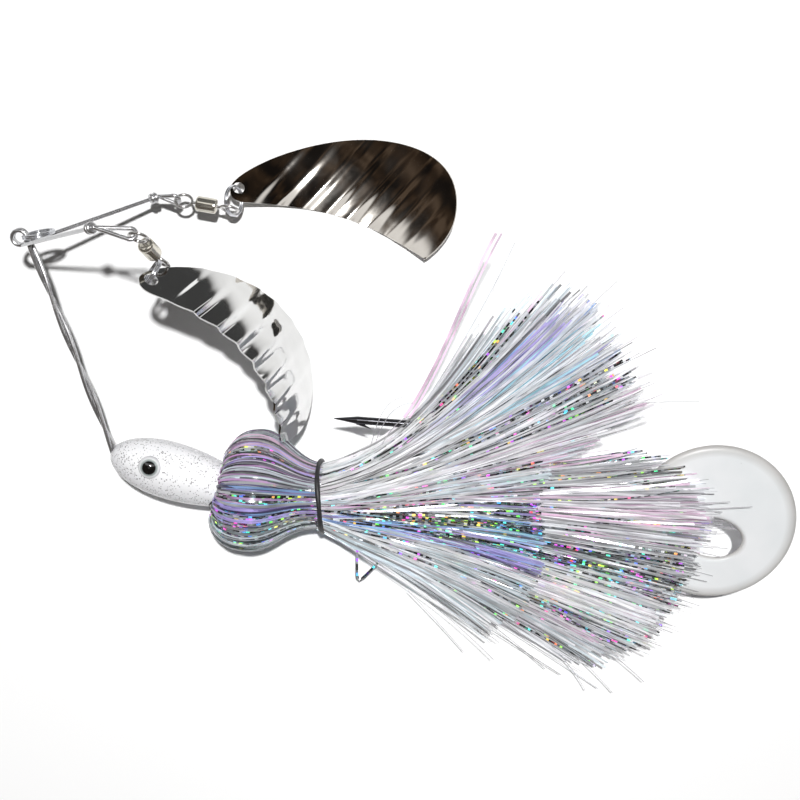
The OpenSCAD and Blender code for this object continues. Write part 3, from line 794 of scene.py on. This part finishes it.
def stray_strands():
    """A few hairs, three strands that stand up and a doubled-back one, placed one by one.

    Their points are (back, up) in mm along the skirt's axis from the band.
    """
    hairs = [((18, 24), (20, 34), (22, 42), (29, 44)),
             ((20, 26), (23, 36), (26, 41), (33, 42)),
             ((22, 24), (26, 33), (30, 38), (39, 38)),
             ((36, -36), (44, -44), (52, -52), (60, -61)),
             ((70, -36), (88, -48), (102, -60), (110, -74)),
             ((80, -40), (96, -50), (112, -64), (121, -74)),
             ((95, -40), (108, -48), (124, -60), (133, -68)),
             ((100, 46), (112, 48), (126, 50), (140, 51))]
    standing = [((30, 36), (44, 60), (50, 90), (59, 109)),
                ((32, 36), (45, 60), (52, 90), (61, 109)),
                ((34, 36), (48, 62), (60, 88), (66, 106))]
    loop = [(15, -14), (15.2, -22), (15.6, -30.5), (16.1, -32), (17, -32.2), (18.4, -31), (24, -24)]
    steps = 20
    points = np.array(hairs + standing, float) * MM
    curves = [np.stack([points[:, i, 0], np.full(len(points), -3 * MM), points[:, i, 1]], 1)
              for i in range(4)]
    loop = resample(np.array(loop), steps) * MM
    loop = np.stack([loop[:, 0], np.full(steps, -4 * MM), loop[:, 1]], 1)[None]
    line = np.concatenate([curve_between(*curves, steps=steps), loop])
    paths = skirt_points(line[..., 0], line[..., 1], line[..., 2])
    tangent = unit(np.gradient(paths, axis=1))
    turn = np.full(paths.shape[:2], 0.3)
    side = turned_side(tangent, np.broadcast_to(SURFACE_OUT, tangent.shape), turn)
    widths = np.array([HAIR_WIDTH] * len(hairs) + [1.1 * MM, 0.8 * MM, 0.4 * MM, 0.9 * MM])
    tints = np.array([HAIR] * len(hairs)
                     + [PALETTE["pink"], PALETTE["pink"], PALETTE["grey"], (0.8, 0.8, 0.8)])
    kinds = np.array([0.0] * (len(hairs) + len(standing)) + [1.0])
    return strips("skirt_stray_strands", paths, side, widths, tints, kinds, np.ones(len(kinds)))


# lengths and unevenness of the two fans, as (angle in degrees, mm)
OUTER_REACH = [(-48, 82), (-33, 88), (-24, 92), (-12, 91), (4, 86), (16, 92), (21, 138),
               (30, 136), (38, 134), (46, 130), (49, 114), (53, 96), (60, 84)]
OUTER_RAGGED = [(14, 2.0), (20, 9.0)]
INNER_REACH = [(-36, 124), (-26, 134), (-21, 146), (-14, 146),
               (-5, 151), (5, 156), (10, 146), (16, 120)]
INNER_RAGGED = [(-26, 8.0), (-18, 3.5), (2, 4.0), (10, 10.0)]
bundle = front_bundle()
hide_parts("skirt_front_bundle")
outer = fan("skirt_outer_strands", 2500, 420, (-38, 54), OUTER_REACH, 15 * MM, WAIST_R,
            OUTER_ZONES, OUTER_RAGGED)
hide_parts("skirt_outer_tier")
inner = fan("skirt_inner_strands", 2000, 340, (-31, 15), INNER_REACH, 10 * MM, 10 * MM,
            INNER_ZONES, INNER_RAGGED)
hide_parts("skirt_inner_tier")
for piece in (bundle, outer, inner, stray_strands()):
    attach(piece, "lure")


# ---------- band ----------
def band():
    """A thin rubber band round the waist."""
    a = np.linspace(0, 2 * math.pi, 72, endpoint=False)
    r = WAIST_R + 0.9 * MM
    up = r * np.cos(a)
    back = 0.25 * MM * np.sin(3 * a) - up * math.tan(BAND_TILT)
    path = settle(skirt_points(back, r * np.sin(a), up), least=1.2 * MM)
    radius = (0.95 + 0.10 * np.sin(5 * a)) * MM
    black = rubber("band_rubber", (0.012, 0.012, 0.013))
    obj = tube("skirt_band_rubber", black, path, radius, closed=True)
    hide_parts("skirt_band")
    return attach(obj, "lure")


band()


# ---------- trailer ----------
CURL_R = 31.5 * MM                       # the curl's outer radius
CURL_HOLE_X, CURL_HOLE_Z = 11.5 * MM, 8.0 * MM       # half sizes of its oval opening
OPENING_X, OPENING_Z = 1.0 * MM, -6.5 * MM           # the opening's centre in the curl
CURL_T = 1.3 * MM                        # half thickness of the curl
BODY_START, BODY_END = 6 * MM, 122 * MM
BODY_R = 6.5 * MM
BODY_DROP = 3.5 * MM                     # the body hangs below the skirt's axis


def curl_points(centre, rows, cols):
    """The curl's two sides: rows go round the opening, columns from it to the outer edge."""
    a = np.radians(np.linspace(196, -140, rows))
    share = np.linspace(-1, 1, cols)
    thick = CURL_T * np.sqrt(np.clip(1 - np.abs(share) ** 16, 0, 1)) + 0.04 * MM
    fade = np.clip((a - a[-1]) / 0.35, 0.1, 1)           # the curl narrows to its free end
    inner_x, inner_z = OPENING_X + CURL_HOLE_X * np.cos(a), OPENING_Z + CURL_HOLE_Z * np.sin(a)
    outer_x, outer_z = CURL_R * np.cos(a), CURL_R * np.sin(a)
    mid_x, mid_z = (inner_x + outer_x) / 2, (inner_z + outer_z) / 2
    half_x, half_z = (outer_x - inner_x) / 2, (outer_z - inner_z) / 2
    x = mid_x[:, None] + half_x[:, None] * share[None, :] * fade[:, None] ** 0.4
    z = mid_z[:, None] + half_z[:, None] * share[None, :] * fade[:, None] ** 0.4
    y = np.broadcast_to(thick[None, :], x.shape)
    return [np.stack([centre.x + x, centre.y + way * y, centre.z + z], -1).reshape(-1, 3)
            for way in (-1, 1)]


def body_points(rows, sides):
    """Rings of the round body, which flattens towards the curl."""
    s = np.linspace(BODY_START, BODY_END, rows)
    past = (s - BODY_START) / (BODY_END + 2 * MM - BODY_START)
    r = BODY_R * np.sqrt(np.clip(1 - past ** 6, 0.02, 1))
    b = np.linspace(0, 2 * math.pi, sides, endpoint=False)
    flat = np.interp(s, [90 * MM, BODY_END], [1.0, 0.35])
    return skirt_points(s[:, None], r[:, None] * flat[:, None] * np.sin(b)[None, :],
                        -BODY_DROP + r[:, None] * np.cos(b)[None, :]).reshape(-1, 3)


def edge_values(mesh, centre):
    """For each point 1 at the curl's outer edge and at its opening, less between them."""
    co = np.zeros(len(mesh.vertices) * 3)
    mesh.vertices.foreach_get("co", co)
    co = co.reshape(-1, 3) - np.array([centre.x, 0, centre.z])
    far = np.hypot(co[:, 0], co[:, 2]) / CURL_R
    to_opening = np.hypot((co[:, 0] - OPENING_X) / CURL_HOLE_X, (co[:, 2] - OPENING_Z) / CURL_HOLE_Z)
    near = 1 / np.maximum(to_opening, 1e-6)
    in_curl = np.abs(co[:, 1]) < 2.2 * MM
    return np.clip(np.maximum(far, near), 0, 1) * in_curl


def trailer():
    """Soft tail: a round body that flattens into a broad open curl."""
    low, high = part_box("trailer_grub")
    centre = Vector((high.x - CURL_R, 0, low.z + CURL_R))
    rows, cols = 90, 26
    rings, sides = 40, 24
    verts = np.vstack(curl_points(centre, rows, cols) + [body_points(rings, sides)])
    body = 2 * rows * cols
    faces = sheet_faces(rows, cols) + grid_faces(rings, sides, offset=body, wrap=True)
    faces.append(tuple(body + i for i in range(sides)))
    faces.append(tuple(body + (rings - 1) * sides + i for i in reversed(range(sides))))
    obj = make_object("trailer_soft_tail", verts, faces, soft_bait())
    merge_and_face_out(obj)
    add_values(obj, "edge", edge_values(obj.data, centre))
    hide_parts("trailer_grub")
    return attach(obj, "lure")


trailer()


# ---------- surface, light and camera ----------
SURFACE_HALF = 2.5       # half the surface's width, in metres


def surface():
    """The pale surface under the lure; it is clear from behind and lets the back lights through."""
    n = material_nodes("pale_surface")
    place = n.add("TexCoord").outputs["Object"]
    grain = n.add("TexNoise", {"Vector": place, "Scale": 4.0, "Detail": 2.0})
    colour = n.ramp(grain, [(0.3, (0.93, 0.93, 0.93)), (0.7, (0.96, 0.96, 0.96))])
    paper = n.add("BsdfDiffuse", {"Color": colour})
    clear = n.add("BsdfTransparent")
    back = n.add("NewGeometry").outputs["Backfacing"]
    shadow_ray = n.add("LightPath").outputs["Is Shadow Ray"]
    seen_through = n.math("MAXIMUM", back, shadow_ray)
    material = n.done(n.add("MixShader", {0: seen_through, 1: paper, 2: clear}))
    corners = [FLOOR_POINT + SURFACE_HALF * (i * X + j * SURFACE_UP)
               for i, j in ((-1, -1), (1, -1), (1, 1), (-1, 1))]
    obj = make_object("surface", corners, [(0, 1, 2, 3)], material, smooth=False)
    return obj


def aim(obj, place, target, up=(0, 0, 1)):
    """Puts a light or the camera at a place and turns it to the target."""
    back = unit(np.array(place) - np.array(target))
    right = unit(np.cross(np.array(up, float), back))
    turn = Matrix([[right[i], np.cross(back, right)[i], back[i]] for i in range(3)])
    obj.matrix_world = Matrix.Translation(Vector(place)) @ turn.to_4x4()


def soft_light(name, place, size, watts):
    """A round area light that faces the lure."""
    data = bpy.data.lights.new(name, "AREA")
    data.shape = "DISK"
    data.size = size
    data.energy = watts
    obj = bpy.data.objects.new(name, data)
    bpy.context.scene.collection.objects.link(obj)
    aim(obj, place, SURFACE_POINT)
    return obj


ROLL = math.radians(10)  # the picture is turned against the lure's long axis
PICTURE_RIGHT = math.cos(ROLL) * X + math.sin(ROLL) * SURFACE_UP
PICTURE_UP = -math.sin(ROLL) * X + math.cos(ROLL) * SURFACE_UP
KEY_TILT = math.radians(7.5)
KEY_AWAY = 1.1           # metres
key = SURFACE_POINT + KEY_AWAY * (math.cos(KEY_TILT) * SURFACE_OUT
                                  + math.sin(KEY_TILT) * (0.96 * PICTURE_UP + 0.26 * PICTURE_RIGHT))
soft_light("key", key, size=0.04, watts=13.6)
left = SURFACE_POINT + 0.9 * SURFACE_OUT - 0.8 * PICTURE_RIGHT + 0.2 * PICTURE_UP
fill_light = soft_light("fill", left, size=0.7, watts=0.4)
fill_light.visible_glossy = False
behind = SURFACE_POINT - 1.1 * SURFACE_OUT
soft_light("behind_left", behind - 0.7 * X, size=0.8, watts=4.5)
soft_light("behind_right", behind + 0.8 * X, size=0.8, watts=3.5)


def room(n, direction):
    """What mirrors see: a dim patchy room with one long bright window."""
    lean = n.add("VectorMath", {0: direction, 1: tuple(SURFACE_OUT - SURFACE_UP)},
                 operation="DOT_PRODUCT")
    aside = n.math("ABSOLUTE", n.add("SeparateXYZ", {0: direction}).outputs["X"])
    blotch = n.add("TexNoise", {"Vector": direction, "Scale": 2.6, "Detail": 3.0})
    ragged = n.math("MULTIPLY_ADD", blotch, 0.5, lean.outputs["Value"])
    place = n.math("MULTIPLY_ADD", aside, 0.45, ragged)
    patches = n.add("TexNoise", {"Vector": direction, "Scale": 5.0, "Detail": 2.0})
    brown = n.ramp(patches, [(0.40, (0.012, 0.010, 0.009)), (0.54, (0.05, 0.032, 0.02)),
                             (0.64, (0.14, 0.10, 0.07))])
    in_brown = n.ramp(place, [(0.62, grey(0.0)), (0.92, grey(1.0))])
    walls = n.mix(in_brown, rgba(grey(0.05)), brown)
    # the window lies above the lure and closes towards both ends
    high = n.add("VectorMath", {0: direction, 1: tuple(SURFACE_UP)}, operation="DOT_PRODUCT")
    ends = n.math("MULTIPLY", n.math("POWER", aside, 6.0), 1.2)
    window_at = n.math("SUBTRACT", high.outputs["Value"], ends)
    window = n.ramp(window_at, [(0.10, grey(0.0)), (0.17, grey(1.0)), (0.36, grey(1.0)),
                                (0.44, grey(0.01))])
    return n.mix(window, walls, rgba(grey(1.3)))


def world():
    """White to the camera, a little warm fill on everything, and the room in mirrors."""
    studio = bpy.data.worlds.new("studio")
    bpy.context.scene.world = studio
    n = Nodes(studio, "OutputWorld")
    path = n.add("LightPath")
    direction = n.add("TexCoord").outputs["Generated"]
    mirror = n.add("Background", {"Color": room(n, direction), "Strength": 1.0})
    white = n.add("Background", {"Color": rgba(grey(1.0)), "Strength": 1.0})
    fill = n.add("Background", {"Color": rgba((1.0, 0.94, 0.88)), "Strength": 0.04})
    lit = n.add("MixShader", {0: path.outputs["Is Glossy Ray"], 1: fill, 2: mirror})
    n.done(n.add("MixShader", {0: path.outputs["Is Camera Ray"], 1: lit, 2: white}))


surface()
world()

CAMERA_AWAY = 0.55       # metres
FIELD = 0.320            # width of the surface that the picture takes in
SENSOR = 36
camera_data = bpy.data.cameras.new("camera")
camera_data.sensor_width = SENSOR
camera_data.lens = SENSOR * CAMERA_AWAY / FIELD
camera_data.clip_start = 0.01
camera = bpy.data.objects.new("camera", camera_data)
bpy.context.scene.collection.objects.link(camera)
aim(camera, SURFACE_POINT + CAMERA_AWAY * SURFACE_OUT, SURFACE_POINT, PICTURE_UP)
bpy.context.scene.camera = camera
bpy.context.scene.view_settings.view_transform = "Standard"
